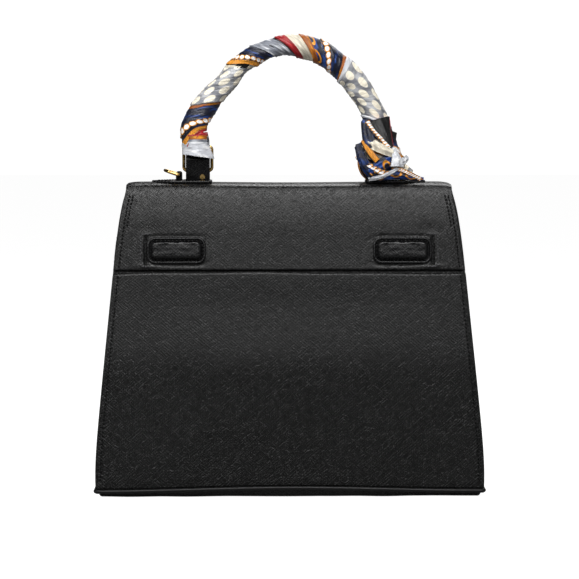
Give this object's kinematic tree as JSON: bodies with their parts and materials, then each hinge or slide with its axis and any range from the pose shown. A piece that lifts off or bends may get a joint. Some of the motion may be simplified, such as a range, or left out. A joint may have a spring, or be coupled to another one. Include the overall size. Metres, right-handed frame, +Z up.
{
  "type": "satchel bag",
  "caption": "Structured black cross-grain leather satchel with a belted flap, rear slip pocket, and a top handle wrapped in a knotted printed silk scarf.",
  "frame": {"origin": "centre of the footprint on the floor, midway across and front to back", "axes": "+Z up, the front with the flap and lock faces -Y, the back with the slip pocket faces +Y, +X is the right side seen from the front"},
  "size_m": [0.2878, 0.1258, 0.3362],
  "materials": {
    "black_leather": "cross-grained pressed leather, satin",
    "black_edge": "smooth painted edge, satin",
    "lining_cloth": "plain woven cloth, matt",
    "board": "pressed fibre board",
    "gold_metal": "pale gold plated, polished",
    "silk_print": "printed silk satin",
    "cord_core": "twisted cotton cord"
  },
  "bodies": {
    "bag_body": {"back_panel": "black_leather", "base_board": "board", "base_panel": "black_leather", "base_welt": "black_edge", "belt_left_rear": "black_leather", "belt_right_rear": "black_leather", "foot_front_left": "gold_metal", "foot_front_right": "gold_metal", "foot_rear_left": "gold_metal", "foot_rear_right": "gold_metal", "front_panel": "black_leather", "gusset_left": "black_leather", "gusset_right": "black_leather", "lining_back": "lining_cloth", "lining_base": "lining_cloth", "lining_front": "lining_cloth", "lock_backplate": "gold_metal", "lock_boss": "gold_metal", "rear_pocket_panel": "black_leather"},
    "flap": {"chape_rivet_left": "gold_metal", "chape_rivet_right": "gold_metal", "flap": "black_leather", "flap_lining": "lining_cloth", "flap_plate": "gold_metal", "flap_plate_rivet_left": "gold_metal", "flap_plate_rivet_right": "gold_metal", "handle_chape_left": "black_leather", "handle_chape_right": "black_leather", "handle_pad_left": "black_leather", "handle_pad_right": "black_leather", "ring_keeper_left": "black_leather", "ring_keeper_right": "black_leather", "scarf_tails": "silk_print", "strap_ring_left": "gold_metal"},
    "handle": {"handle_core": "cord_core", "handle_cover": "black_leather", "handle_end_left": "black_leather", "handle_end_right": "black_leather", "handle_ring_left": "gold_metal", "handle_ring_right": "gold_metal", "scarf_end_band": "silk_print", "scarf_knot": "silk_print", "scarf_wrap": "silk_print"},
    "belt_left": {"belt_left_front": "black_leather", "belt_left_plate": "gold_metal", "belt_left_rivet_lower": "gold_metal", "belt_left_rivet_upper": "gold_metal"},
    "belt_right": {"belt_right_front": "black_leather", "belt_right_plate": "gold_metal", "belt_right_rivet_lower": "gold_metal", "belt_right_rivet_upper": "gold_metal"},
    "knob": {"turn_knob": "gold_metal"},
    "ring_right": {"strap_ring_right": "gold_metal"}
  },
  "joints": [
    {"name": "flap_open", "type": "hinge", "parent": "bag_body", "child": "flap", "pos_m": [0, 0.0225, 0.223], "axis": [-1, 0, 0], "range_deg": [0, 110]},
    {"name": "handle_swing", "type": "hinge", "parent": "flap", "child": "handle", "pos_m": [0, 0, 0.2355], "axis": [1, 0, 0], "range_deg": [-45, 45]},
    {"name": "belt_right_swing", "type": "hinge", "parent": "bag_body", "child": "belt_right", "pos_m": [0.12701, -0.03019, 0.178], "axis": [-0.0939, 0.1677, 0.9814], "range_deg": [0, 90]},
    {"name": "belt_left_swing", "type": "hinge", "parent": "bag_body", "child": "belt_left", "pos_m": [-0.12701, -0.03019, 0.178], "axis": [-0.0939, -0.1677, -0.9814], "range_deg": [0, 90]},
    {"name": "knob_turn", "type": "hinge", "parent": "bag_body", "child": "knob", "pos_m": [0, -0.03019, 0.178], "axis": [0, -0.9857, 0.1684], "range_deg": [0, 90]},
    {"name": "strap_ring_right_flip", "type": "hinge", "parent": "flap", "child": "ring_right", "pos_m": [0.0815, 0, 0.2324], "axis": [0, -1, 0], "range_deg": [-12, 42]}
  ],
  "couplings": [
    {"joint": "belt_right_swing", "follows": "flap_open", "ratio": 0.8},
    {"joint": "belt_left_swing", "follows": "flap_open", "ratio": 0.8}
  ]
}
